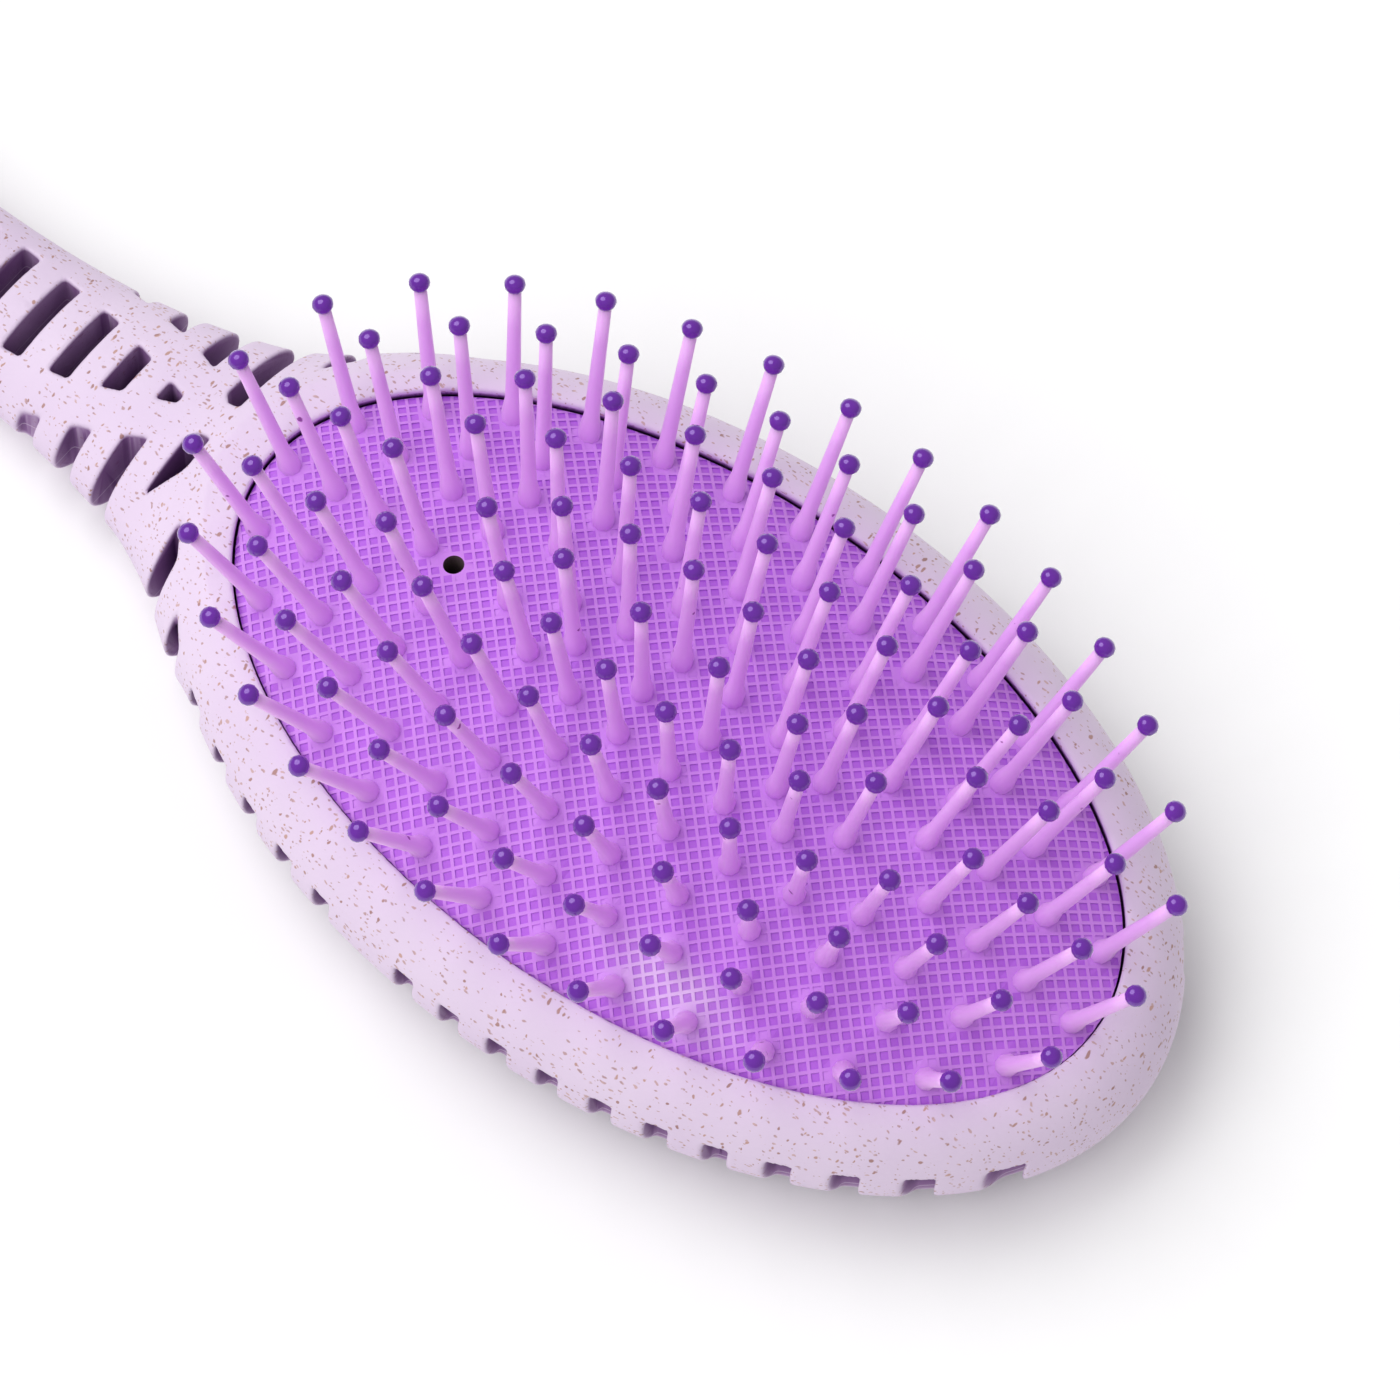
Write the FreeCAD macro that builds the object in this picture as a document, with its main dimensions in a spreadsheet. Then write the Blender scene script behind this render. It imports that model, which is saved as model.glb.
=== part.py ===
import FreeCAD
import Part
import math
import os
from FreeCAD import Placement, Rotation, Vector

# Detangling brush: a one-piece slotted frame, a crowned air cushion and a field of ball-tipped pins.
# X runs along the brush with the handle at -X, Z is up, and the brush lies on its back at Z = 0.
# The origin is on the flat of the back, under the middle of the oval opening. All sizes are in mm.

SIZES = {
    # Oval opening and the rim round it
    "opening_length": 95.6,
    "opening_width": 54.0,
    "lip_height": 16.0,
    "lip_land": 0.5,
    "rim_width": 6.1,
    "rim_widest_height": 9.7,
    "back_inset": 9.0,
    "floor_thickness": 3.0,
    # Seat of the cushion inside the rim
    "lip_thickness": 1.2,
    "seat_height": 2.8,
    "seat_depth": 1.5,
    "ledge_width": 1.5,
    # Handle: a chain of oval sections, from inside the rim to the tail
    "neck_overlap": 4.0,
    "root_width": 38.0,
    "root_height": 15.2,
    "root_level": 8.1,
    "shoulder_step": 6.2,
    "shoulder_width": 31.2,
    "shoulder_height": 14.6,
    "shoulder_level": 7.8,
    "neck_step": 5.5,
    "neck_width": 26.0,
    "neck_height": 13.8,
    "neck_level": 7.4,
    "throat_step": 5.5,
    "throat_width": 22.6,
    "throat_height": 12.6,
    "throat_level": 6.8,
    "waist_step": 14.0,
    "waist_width": 18.0,
    "waist_height": 9.8,
    "waist_level": 5.7,
    "grip_step": 13.0,
    "grip_width": 16.6,
    "grip_height": 9.4,
    "grip_level": 5.6,
    "palm_step": 37.0,
    "palm_width": 20.4,
    "palm_height": 11.0,
    "palm_level": 5.9,
    "heel_step": 30.0,
    "heel_width": 20.8,
    "heel_height": 10.8,
    "heel_level": 6.1,
    "round_step": 13.0,
    "round_width": 16.0,
    "round_height": 8.6,
    "round_level": 6.0,
    "end_step": 6.0,
    "end_width": 5.0,
    "end_height": 2.8,
    "end_level": 5.9,
    # Slots across the frame, all on one pitch from the first, a little past the opening's tip
    "slot_pitch": 5.44,
    "slot_width": 2.2,
    "slot_shift": 0.86,
    "rim_band": 5.3,
    "window_distance": 47.2,
    "window_length": 72.0,
    "window_width": 10.8,
    "rail_length": 82.0,
    "rail_width": 20.0,
    "spine_width": 4.2,
    "spine_reach": 10.0,
    "plain_grip_start": 30.0,
    # Cushion
    "pad_thickness": 2.0,
    "pad_crown": 5.85,
    "pad_fullness": 2.6,
    "pad_edge_gap": 0.3,
    "pad_seat_clearance": 0.15,
    "vent_width": 2.0,
    "vent_distance": 26.0,
    # Pin field: rings one inside the other and a row in the middle
    "pin_margin_along": 2.4,
    "pin_margin_across": 3.2,
    "ring_pitch_along": 5.45,
    "inner_ring_step": 9.65,
    "pin_lean_along": 23.3,
    "pin_lean_across": 31.9,
    # One pin and its ball
    "pin_reach": 15.8,
    "pin_tip_width": 1.1,
    "pin_shank_width": 1.45,
    "pin_bulb_width": 2.1,
    "pin_bulb_height": 2.6,
    "pin_bulb_seat": 0.6,
    "pin_neck_width": 1.5,
    "pin_foot_width": 2.8,
    "pin_foot_height": 0.9,
    "pin_foot_clearance": 0.4,
    "pin_hole_clearance": 0.06,
    "ball_width": 1.9,
}

RING_PINS = {"ring_1": 30, "ring_2": 28, "ring_3": 22, "ring_4": 20, "ring_5": 14}
CENTRE_ROW_PINS = 4
HANDLE_SECTIONS = ("shoulder", "neck", "throat", "waist", "grip", "palm", "heel", "round", "end")
SLOT_LINES = 33
PLAIN_SLOT = 11  # the rim has no notch here
LOFT_DEGREE = 3
HANDLE_FLATS = 16
RIM_STEPS = 4
DOME_SIDES = 32
DOME_STEPS = 5
DOME_TOP_ANGLE = 86.0
PIN_SIDES = 5
BALL_WAIST = -5.0  # latitudes on a ball, in degrees
BALL_CROWN = 58.0
CUT_MARGIN = 2.0  # how far every cutter runs past what it cuts
BELOW = f"-{CUT_MARGIN}"
ABOVE = f"sizes.lip_height + {CUT_MARGIN}"

doc = FreeCAD.newDocument("detangling_brush")
sheet = doc.addObject("Spreadsheet::Sheet", "sizes")
for row, (alias, number) in enumerate(SIZES.items(), start=1):
    sheet.set(f"A{row}", alias)
    sheet.set(f"B{row}", str(number))
    sheet.setAlias(f"B{row}", alias)
doc.recompute()


def size(alias):
    return float(sheet.get(alias))


def bind(target, **expressions):
    for path, expression in expressions.items():
        target.setExpression(path.replace("__", "."), expression)


def oval(name, length, width, level, x="0"):
    """An ellipse, lying flat at a level."""
    ellipse = doc.addObject("Part::Ellipse", name)
    bind(ellipse, MajorRadius=f"({length}) / 2", MinorRadius=f"({width}) / 2")
    bind(ellipse, Placement__Base__x=x, Placement__Base__z=level)
    return ellipse


def prism(name, length, width, bottom, top, x="0"):
    """An upright solid with an oval outline."""
    outline = oval(f"{name}_outline", length, width, bottom, x)
    solid = doc.addObject("Part::Extrusion", name)
    solid.Base = outline
    solid.DirMode = "Custom"
    solid.Dir = Vector(0, 0, 1)
    solid.Solid = True
    bind(solid, LengthFwd=f"({top}) - ({bottom})")
    return solid


def loft(name, sections, ruled=True):
    solid = doc.addObject("Part::Loft", name)
    solid.Sections = sections
    solid.Solid = True
    solid.Ruled = ruled
    solid.MaxDegree = LOFT_DEGREE
    return solid


def block(name, length, width, x):
    """An upright solid across the middle of the frame, from x towards the head, through its whole height."""
    solid = doc.addObject("Part::Box", name)
    bind(solid, Length=length, Width=width, Height=f"{ABOVE} - ({BELOW})")
    bind(solid, Placement__Base__x=x, Placement__Base__y=f"-({width}) / 2", Placement__Base__z=BELOW)
    return solid


def boolean(kind, name, base, tool):
    result = doc.addObject(f"Part::{kind}", name)
    result.Base = base
    result.Tool = tool
    result.Label = name
    return result


def faceted(stations, sides):
    """A solid of flat faces along Z through (level, length, width) stations."""
    rings = []
    for level, length, width in stations:
        turns = [2 * math.pi * corner / sides for corner in range(sides)]
        rings.append([Vector(length / 2 * math.cos(t), width / 2 * math.sin(t), level) for t in turns])
    outlines = [rings[0], rings[-1]]
    for lower, upper in zip(rings, rings[1:]):
        for corner in range(sides):
            following = (corner + 1) % sides
            outlines.append([lower[corner], lower[following], upper[following], upper[corner]])
    faces = [Part.Face(Part.makePolygon([*outline, outline[0]])) for outline in outlines]
    return Part.Solid(Part.Shell(faces))


def round_form(stations):
    """A solid of flat faces along Z through (level, width) stations."""
    return faceted([(level, width, width) for level, width in stations], PIN_SIDES)


def grown(outset):
    """Length and width of the opening grown all round by an outset."""
    return f"sizes.opening_length + 2 * ({outset})", f"sizes.opening_width + 2 * ({outset})"


# Frame: head


def head_section(name, outset, level):
    """The opening's outline grown all round, in four quarter arcs."""
    outline = Part.Ellipse(
        Vector(0, 0, level), size("opening_length") / 2 + outset, size("opening_width") / 2 + outset
    )
    turns = [math.pi / 2 * quarter for quarter in range(5)]
    section = doc.addObject("Part::Feature", name)
    section.Shape = Part.Wire([Part.ArcOfEllipse(outline, *ends).toShape() for ends in zip(turns, turns[1:])])
    return section


def make_head():
    """Flat back, rounded up to the widest line, then a crowned rim up to the lip."""
    widest = size("rim_widest_height")
    sections = []
    for step in range(RIM_STEPS):
        turn = math.pi / 2 * (1 - step / RIM_STEPS)
        outset = (size("rim_width") + size("back_inset")) * math.cos(turn) - size("back_inset")
        sections.append(head_section(f"head_lower_{step}", outset, widest * (1 - math.sin(turn))))
    for step in range(RIM_STEPS + 1):
        turn = math.pi / 2 * step / RIM_STEPS
        outset = size("lip_land") + (size("rim_width") - size("lip_land")) * math.cos(turn)
        level = widest + (size("lip_height") - widest) * math.sin(turn)
        sections.append(head_section(f"head_upper_{step}", outset, level))
    return loft("head_form", sections)


# Frame: handle


def handle_section(part, x):
    """An upright oval across the handle, with flats that the loft draws out along it."""
    section = doc.addObject("Part::Feature", f"{part}_section")
    corners = []
    for flat in range(HANDLE_FLATS):
        turn = 2 * math.pi * (flat + 0.5) / HANDLE_FLATS
        across = size(f"{part}_width") / 2 * math.cos(turn)
        up = size(f"{part}_height") / 2 * math.sin(turn)
        corners.append(Vector(x, across, size(f"{part}_level") + up))
    section.Shape = Part.makePolygon([*corners, corners[0]])
    return section


def make_handle():
    """Sections one step after another, from inside the rim to the tail."""
    x = size("neck_overlap") - size("opening_length") / 2
    sections = [handle_section("root", x)]
    for part in HANDLE_SECTIONS:
        x -= size(f"{part}_step")
        sections.append(handle_section(part, x))
    return loft("handle_form", sections, ruled=False)


# Frame: slots through the rim's edge, the neck and the handle

FIRST_SLOT = "sizes.opening_length / 2 + sizes.slot_shift"
HEAD_END = "-sizes.opening_length / 2"
WINDOW_X = f"{HEAD_END} - sizes.window_distance"


def make_bars():
    """Equal bars across the whole frame, one for each slot line."""
    span = f"sizes.opening_width + 2 * (sizes.rim_width + {CUT_MARGIN})"
    bars = []
    for index in range(SLOT_LINES):
        if index == PLAIN_SLOT:
            continue
        x = f"{FIRST_SLOT} - {index} * sizes.slot_pitch - sizes.slot_width / 2"
        bars.append(block(f"slot_bar_{index}", "sizes.slot_width", span, x))
    compound = doc.addObject("Part::Compound", "slot_bars")
    compound.Links = bars
    return compound


def make_uncut():
    """What the bars leave whole: the rim's band, the spine, two rails that part from it, and the grip."""
    band = prism("rim_band", *grown("sizes.rim_band"), BELOW, ABOVE)
    rails = prism("rails", "sizes.rail_length", "sizes.rail_width", BELOW, ABOVE, WINDOW_X)
    window = prism("window", "sizes.window_length", "sizes.window_width", BELOW, ABOVE, WINDOW_X)
    reach = " + ".join(f"sizes.{part}_step" for part in HANDLE_SECTIONS)
    span = f"sizes.opening_width + 2 * (sizes.rim_width + {2 * CUT_MARGIN})"
    grip = block("plain_grip", reach, span, f"{HEAD_END} - sizes.plain_grip_start - ({reach})")
    spine = block("spine", "sizes.spine_reach", "sizes.spine_width", f"{HEAD_END} - sizes.spine_reach")
    beams = boolean("Fuse", "beams", rails, grip)
    framed = boolean("Cut", "framed_window", beams, window)
    return boolean("Fuse", "uncut", boolean("Fuse", "banded_spine", band, spine), framed)


# Frame: recess for the cushion

SEAT_TOP = "sizes.lip_height - sizes.lip_thickness"
SEAT_FLOOR = f"{SEAT_TOP} - sizes.seat_height"


def make_recess():
    """Opening through the lip, undercut seat for the cushion's edge, and the air space below it."""
    opening = prism("opening", *grown("0"), SEAT_FLOOR, ABOVE)
    seat = prism("seat", *grown("sizes.seat_depth"), SEAT_FLOOR, SEAT_TOP)
    chamber = prism("chamber", *grown("-sizes.ledge_width"), "sizes.floor_thickness", ABOVE)
    return boolean("Fuse", "recess", boolean("Fuse", "open_seat", opening, seat), chamber)


blank = boolean("Fuse", "frame_blank", make_head(), make_handle())
slots = boolean("Cut", "slots", make_bars(), make_uncut())
slotted = boolean("Cut", "slotted_frame", blank, slots)
frame = boolean("Cut", "brush_frame", slotted, make_recess())

# Cushion

PAD_EDGE = size("lip_height") - size("lip_thickness") - size("pad_seat_clearance")
PAD_FOOT = size("lip_height") - size("lip_thickness") - size("seat_height")


def pad_rise(share):
    """Height of the crown at a share of the way from the middle to the edge: it falls ever faster."""
    return size("pad_crown") * (1 - share ** size("pad_fullness"))


def pad_stations(outset, levels):
    """The same outline, the opening grown by an outset, at each of some levels."""
    length = size("opening_length") + 2 * outset
    width = size("opening_width") + 2 * outset
    return [(level, length, width) for level in levels]


def dome_stations(drop):
    """Rings of the crown, from the edge to the small flat in the middle."""
    stations = []
    for step in range(DOME_STEPS + 1):
        share = math.cos(math.radians(DOME_TOP_ANGLE * step / DOME_STEPS))
        (level, length, width), = pad_stations(-size("pad_edge_gap"), [PAD_EDGE - drop + pad_rise(share)])
        stations.append((level, length * share, width * share))
    return stations


def make_pad_form():
    """Flange in the seat, and the crown that stands up through the opening."""
    flange = pad_stations(size("seat_depth") - size("pad_seat_clearance"), [PAD_FOOT, PAD_EDGE])
    form = doc.addObject("Part::Feature", "pad_form")
    form.Shape = faceted([*flange, *dome_stations(0)], DOME_SIDES)
    return form


def make_pad_air():
    """The air space under the crown, open below."""
    mouth = pad_stations(-size("pad_edge_gap"), [PAD_FOOT - CUT_MARGIN])
    air = doc.addObject("Part::Feature", "pad_air")
    air.Shape = faceted([*mouth, *dome_stations(size("pad_thickness"))], DOME_SIDES)
    return air


def pad_level(x, y):
    """Height of the cushion's upper face at a point."""
    half_length = size("opening_length") / 2 - size("pad_edge_gap")
    half_width = size("opening_width") / 2 - size("pad_edge_gap")
    return PAD_EDGE + pad_rise(math.hypot(x / half_length, y / half_width))


# Pin field


def ring_axes(number):
    """Half length and half width of a ring, counted from the outside."""
    half_length = size("opening_length") / 2 - size("pin_margin_along")
    half_length -= size("ring_pitch_along") * min(number - 1, len(RING_PINS) - 2)
    if number == len(RING_PINS):
        half_length -= size("inner_ring_step")
    outer_width = size("opening_width") / 2 - size("pin_margin_across")
    half_width = outer_width * (1 - (number - 1) / len(RING_PINS))
    return half_length, half_width


def pin_points():
    """Ring name to the points where its pins cross the cushion's upper face."""
    points = {}
    for number, (ring, count) in enumerate(RING_PINS.items(), start=1):
        ellipse = Part.Ellipse(Vector(0, 0, 0), *ring_axes(number)).toShape()
        points[ring] = ellipse.discretize(Number=count + 1)[:count]
    reach = ring_axes(len(RING_PINS))[0]
    pitch = 2 * reach / (CENTRE_ROW_PINS + 1)
    points["centre_row"] = [Vector(pitch * (step + 1) - reach, 0, 0) for step in range(CENTRE_ROW_PINS)]
    return points


def pin_placement(point):
    """Stands a pin on the cushion, leaning outwards in proportion to its place."""
    along = math.tan(math.radians(size("pin_lean_along"))) * point.x / (size("opening_length") / 2)
    across = math.tan(math.radians(size("pin_lean_across"))) * point.y / (size("opening_width") / 2)
    seat = Vector(point.x, point.y, pad_level(point.x, point.y))
    return Placement(seat, Rotation(Vector(0, 0, 1), Vector(along, across, 1)))


FOOT_TOP = -size("pad_thickness") - size("pin_foot_clearance")
BULB_LEVEL = size("pin_bulb_seat")
PIN_TOP = size("pin_reach") - math.sqrt(size("ball_width") ** 2 - size("pin_tip_width") ** 2) / 2


def make_pin():
    """Foot under the cushion, neck that swells through it, flared root on top and a tapering shank."""
    return round_form(
        [
            (FOOT_TOP - size("pin_foot_height"), size("pin_foot_width")),
            (FOOT_TOP, size("pin_neck_width")),
            (BULB_LEVEL, size("pin_bulb_width")),
            (size("pin_bulb_height"), size("pin_shank_width")),
            (PIN_TOP, size("pin_tip_width")),
        ]
    )


def make_ball():
    """Ball that sits on the end of the shank, flat where they meet."""
    stations = [(PIN_TOP, size("pin_tip_width"))]
    for latitude in (BALL_WAIST, BALL_CROWN):
        level = size("pin_reach") + size("ball_width") / 2 * math.sin(math.radians(latitude))
        stations.append((level, size("ball_width") * math.cos(math.radians(latitude))))
    return round_form(stations)


def make_hole():
    """Clearance hole for a pin's neck, with the neck's taper, right through the cushion."""
    taper = (size("pin_bulb_width") - size("pin_neck_width")) / (BULB_LEVEL - FOOT_TOP)
    stations = []
    for level in (2 * FOOT_TOP, -FOOT_TOP):
        neck = size("pin_neck_width") + taper * (level - FOOT_TOP)
        stations.append((level, neck + 2 * size("pin_hole_clearance")))
    return round_form(stations)


def copies(label, form, points):
    """One object with a copy of a form at every point."""
    solids = []
    for point in points:
        solid = form.copy()
        solid.Placement = pin_placement(point)
        solids.append(solid)
    group = doc.addObject("Part::Feature", label)
    group.Label = label
    group.Shape = Part.makeCompound(solids)
    group.Placement = Placement()
    return group


pin_form = make_pin()
ball_form = make_ball()
hole_form = make_hole()
vent = doc.addObject("Part::Cylinder", "vent")
bind(vent, Radius="sizes.vent_width / 2", Height=f"{ABOVE} + sizes.pad_crown")
bind(vent, Placement__Base__x="-sizes.vent_distance")
doc.recompute()

field = pin_points()
pin_nodes = []
for ring, points in field.items():
    halves = {"front": [p for p in points if p.x >= 0], "rear": [p for p in points if p.x < 0]}
    for half, half_points in halves.items():
        pin_nodes.append(copies(f"{ring}_pins_{half}", pin_form, half_points))
        pin_nodes.append(copies(f"{ring}_balls_{half}", ball_form, half_points))

pad_blank = boolean("Cut", "pad_blank", make_pad_form(), make_pad_air())
pin_holes = copies("pin_holes", hole_form, [p for points in field.values() for p in points])
pierced = boolean("Cut", "pierced_pad", pad_blank, pin_holes)
pad = boolean("Cut", "cushion_pad", pierced, vent)
doc.recompute()

# Check every object, then write one file for each sub-part

for made in doc.Objects:
    if "Invalid" in made.State or "Error" in made.State:
        raise RuntimeError(f"{made.Label} failed: {made.State}")

nodes = [frame, pad, *pin_nodes]
for node in nodes:
    if node.Shape.isNull() or not node.Shape.isValid() or node.Shape.Volume <= 0:
        raise RuntimeError(f"{node.Label} has no valid solid")

os.makedirs("parts", exist_ok=True)
for node in nodes:
    node.Shape.exportStep(os.path.join("parts", f"{node.Label}.step"))
    print(f"{node.Label}: {len(node.Shape.Solids)} solids, {node.Shape.Volume:.1f} mm3")
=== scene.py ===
import math

import bpy
import bmesh
import numpy as np
from mathutils import Matrix, Vector


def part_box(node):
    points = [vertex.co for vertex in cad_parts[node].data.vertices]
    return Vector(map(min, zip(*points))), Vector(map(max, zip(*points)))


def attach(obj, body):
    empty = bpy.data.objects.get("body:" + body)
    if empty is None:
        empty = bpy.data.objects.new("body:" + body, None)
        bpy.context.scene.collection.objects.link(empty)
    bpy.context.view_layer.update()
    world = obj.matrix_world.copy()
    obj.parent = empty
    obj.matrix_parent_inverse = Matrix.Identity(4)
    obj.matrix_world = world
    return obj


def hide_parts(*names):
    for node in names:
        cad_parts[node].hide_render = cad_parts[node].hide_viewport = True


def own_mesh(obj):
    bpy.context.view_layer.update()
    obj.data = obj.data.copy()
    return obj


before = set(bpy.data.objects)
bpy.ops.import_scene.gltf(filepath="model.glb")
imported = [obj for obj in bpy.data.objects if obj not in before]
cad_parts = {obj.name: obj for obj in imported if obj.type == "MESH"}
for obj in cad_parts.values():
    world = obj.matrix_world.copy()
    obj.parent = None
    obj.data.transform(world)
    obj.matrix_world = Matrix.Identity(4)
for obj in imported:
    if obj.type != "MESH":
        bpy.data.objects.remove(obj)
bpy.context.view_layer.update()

mm = 0.001
joinWithin = 0.01  # points closer than this, in millimetres, are one
tiny = 1e-9  # keeps a division safe
scene = bpy.context.scene
ringNames = ["ring_1", "ring_2", "ring_3", "ring_4", "ring_5", "centre_row"]
print("frame loaded:", len(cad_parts), "nodes")

# Camera, at the photograph's viewing angle
viewpoint = dict(
    azimuth=34.45, elevation=63.78, roll=3.75, reach=0.64865, lens=180.56, sensor=36, nearest=0.01,
    aim=(-0.00055, 0.00459, 0.016),
)


def placeCamera():
    turn, tilt, roll = (math.radians(viewpoint[word]) for word in ("azimuth", "elevation", "roll"))
    back = Vector((math.sin(turn) * math.cos(tilt), -math.cos(turn) * math.cos(tilt), math.sin(tilt)))
    level = Vector((math.cos(turn), math.sin(turn), 0))
    side = math.cos(roll) * level + math.sin(roll) * back.cross(level)
    lens = bpy.data.cameras.new("photoCamera")
    lens.lens = viewpoint["lens"]
    lens.sensor_width = viewpoint["sensor"]
    lens.clip_start = viewpoint["nearest"]
    camera = bpy.data.objects.new("photoCamera", lens)
    scene.collection.objects.link(camera)
    place = Matrix((side, back.cross(side), back)).transposed().to_4x4()
    place.translation = Vector(viewpoint["aim"]) + back * viewpoint["reach"]
    camera.matrix_world = place
    scene.camera = camera


placeCamera()

# Node helpers


def addNode(tree, kind, inputs=None, **settings):
    node = tree.nodes.new(kind)
    for name, value in settings.items():
        setattr(node, name, value)
    for name, value in (inputs or {}).items():
        socket = node.inputs[name]
        if isinstance(value, bpy.types.NodeSocket):
            tree.links.new(value, socket)
        else:
            socket.default_value = value
    return node


def calc(tree, operation, *values):  # one math node, fed by numbers or sockets
    return addNode(tree, "ShaderNodeMath", dict(enumerate(values)), operation=operation).outputs[0]


def vectorCalc(tree, operation, *values):
    return addNode(tree, "ShaderNodeVectorMath", dict(enumerate(values)), operation=operation).outputs[0]


def addNoise(tree, place, scale, detail):
    return addNode(tree, "ShaderNodeTexNoise", {"Vector": place, "Scale": scale, "Detail": detail}).outputs


def newMesh(name, points, faces):
    mesh = bpy.data.meshes.new(name)
    mesh.from_pydata(points, [], faces)
    mesh.validate()
    return mesh


def newPiece(name, mesh):
    piece = bpy.data.objects.new(name, mesh)
    scene.collection.objects.link(piece)
    return piece


def flatten(piece):  # modifiers become a plain mesh
    depsgraph = bpy.context.evaluated_depsgraph_get()
    mesh = bpy.data.meshes.new_from_object(piece.evaluated_get(depsgraph))
    piece.modifiers.clear()
    piece.data = mesh


def growTree(piece, tree, **values):  # runs a geometry tree on a piece, inputs by name
    modifier = piece.modifiers.new("grow", "NODES")
    modifier.node_group = tree
    for item in tree.interface.items_tree:
        if item.in_out == "INPUT" and item.name in values:
            modifier[item.identifier] = values[item.name]
    flatten(piece)


def smooth(piece):
    piece.data.polygons.foreach_set("use_smooth", [True] * len(piece.data.polygons))


# Shared finishes, as node groups


def newGroup(name, inputs, outputs):
    group = bpy.data.node_groups.new(name, "ShaderNodeTree")
    for word, value in inputs.items():
        group.interface.new_socket(word, in_out="INPUT", socket_type="NodeSocketFloat").default_value = value
    for word, kind in outputs.items():
        group.interface.new_socket(word, in_out="OUTPUT", socket_type=f"NodeSocket{kind}")
    return group, group.nodes.new("NodeGroupInput"), group.nodes.new("NodeGroupOutput")


straw = dict(
    bendScale=900.0, bendReach=0.0007, patchScale=120.0, patchGain=2.0,
    leastSpread=0.1, addedSpread=0.26, sharpness=3.0,
)


def makeStrawGroup():  # straw fibres scattered in the plastic: a mask of flecks and their tone
    sizes = {"Scale": 700, "Amount": 0.3, "Stretch X": 1.0, "Stretch Y": 1.0}
    group, given, made = newGroup("strawFlecks", sizes, {"Mask": "Float", "Tone": "Float"})
    place = addNode(group, "ShaderNodeTexCoord").outputs["Object"]
    bend = addNoise(group, place, straw["bendScale"], detail=2.0)["Color"]
    shift = vectorCalc(group, "MULTIPLY", bend, (straw["bendReach"],) * 3)
    bent = vectorCalc(group, "ADD", place, shift)
    across, along = given.outputs["Stretch X"], given.outputs["Stretch Y"]
    stretch = addNode(group, "ShaderNodeCombineXYZ", {0: across, 1: along, 2: 1.0})
    drawn = vectorCalc(group, "MULTIPLY", bent, stretch.outputs[0])
    cells = addNode(group, "ShaderNodeTexVoronoi", {"Vector": drawn, "Scale": given.outputs["Scale"]})
    pick = addNode(group, "ShaderNodeSeparateColor", {"Color": cells.outputs["Color"]})
    patch = addNoise(group, place, straw["patchScale"], detail=2.0)[0]
    dense = calc(group, "MULTIPLY", patch, straw["patchGain"])
    share = calc(group, "MULTIPLY", given.outputs["Amount"], dense)
    chosen = calc(group, "LESS_THAN", pick.outputs["Red"], share)
    spread = calc(group, "MULTIPLY_ADD", pick.outputs["Green"], straw["addedSpread"], straw["leastSpread"])
    core = addNode(group, "ShaderNodeMapRange", {"Value": cells.outputs["Distance"], "From Min": spread})
    core.inputs["From Max"].default_value = 0.0
    sharp = calc(group, "MINIMUM", calc(group, "MULTIPLY", core.outputs[0], straw["sharpness"]), 1.0)
    group.links.new(calc(group, "MULTIPLY", chosen, sharp), made.inputs["Mask"])
    group.links.new(pick.outputs["Blue"], made.inputs["Tone"])
    return group


def makeGrainGroup():  # uneven skin of a moulding: a fine height and a wide cloud
    sizes = {"Scale": 2500, "Wave": 250}
    group, given, made = newGroup("mouldSkin", sizes, {"Height": "Float", "Cloud": "Float"})
    place = addNode(group, "ShaderNodeTexCoord").outputs["Object"]
    for size, detail, result in (("Scale", 3.0, "Height"), ("Wave", 2.0, "Cloud")):
        group.links.new(addNoise(group, place, given.outputs[size], detail)[0], made.inputs[result])
    return group


strawGroup = makeStrawGroup()
skinGroup = makeGrainGroup()


def linear(red, green, blue):  # a colour from 0 to 255 as the shader needs it
    parts = []
    for part in (red, green, blue):
        share = part / 255
        parts.append(share / 12.92 if share <= 0.04045 else ((share + 0.055) / 1.055) ** 2.4)
    return (*parts, 1.0)


def newMaterial(name, sockets):
    material = bpy.data.materials.new(name)
    material.use_nodes = True
    tree = material.node_tree
    tree.nodes.clear()
    shader = addNode(tree, "ShaderNodeBsdfPrincipled", sockets)
    addNode(tree, "ShaderNodeOutputMaterial", {"Surface": shader.outputs[0]})
    return material, tree, shader


def placeGroup(tree, group, values):
    return addNode(tree, "ShaderNodeGroup", values, node_tree=group)


def readShare(tree, name):  # an attribute of the mesh, as a number
    return addNode(tree, "ShaderNodeAttribute", attribute_name=name).outputs["Fac"]


def mixColour(tree, factor, first, second):  # two colours, from 0 to 255 or as sockets
    first, second = (linear(*colour) if isinstance(colour, tuple) else colour for colour in (first, second))
    return addNode(tree, "ShaderNodeMix", {0: factor, 6: first, 7: second}, data_type="RGBA").outputs[2]


def addBump(tree, shader, height, depth):
    bump = addNode(tree, "ShaderNodeBump", {"Height": height, "Strength": 1.0, "Distance": depth})
    tree.links.new(bump.outputs[0], shader.inputs["Normal"])


strawPlastic = dict(
    pale=(229, 212, 233), cool=(218, 198, 225), tan=(196, 152, 132), brown=(152, 104, 90),
    # wall and deep are painted shade: the slots' walls and the deepest pockets
    wall=(184, 140, 196), deep=(68, 26, 86),
    skin={"Scale": 1800.0, "Wave": 90.0}, fine={"Scale": 2400.0, "Amount": 1.0, "Stretch X": 0.45},
    coarse={"Scale": 1700.0, "Amount": 0.42, "Stretch Y": 0.45}, fineShare=0.8, fleckShare=0.85,
    slotStart=0.08, wallGain=2.5, seamLevel=0.0058, seamHalf=0.00009, seamShare=0.45,
    gloss=0.22, leastRough=0.4, cloudRough=0.12, slotRough=0.45, bump=0.00004,
)


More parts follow.
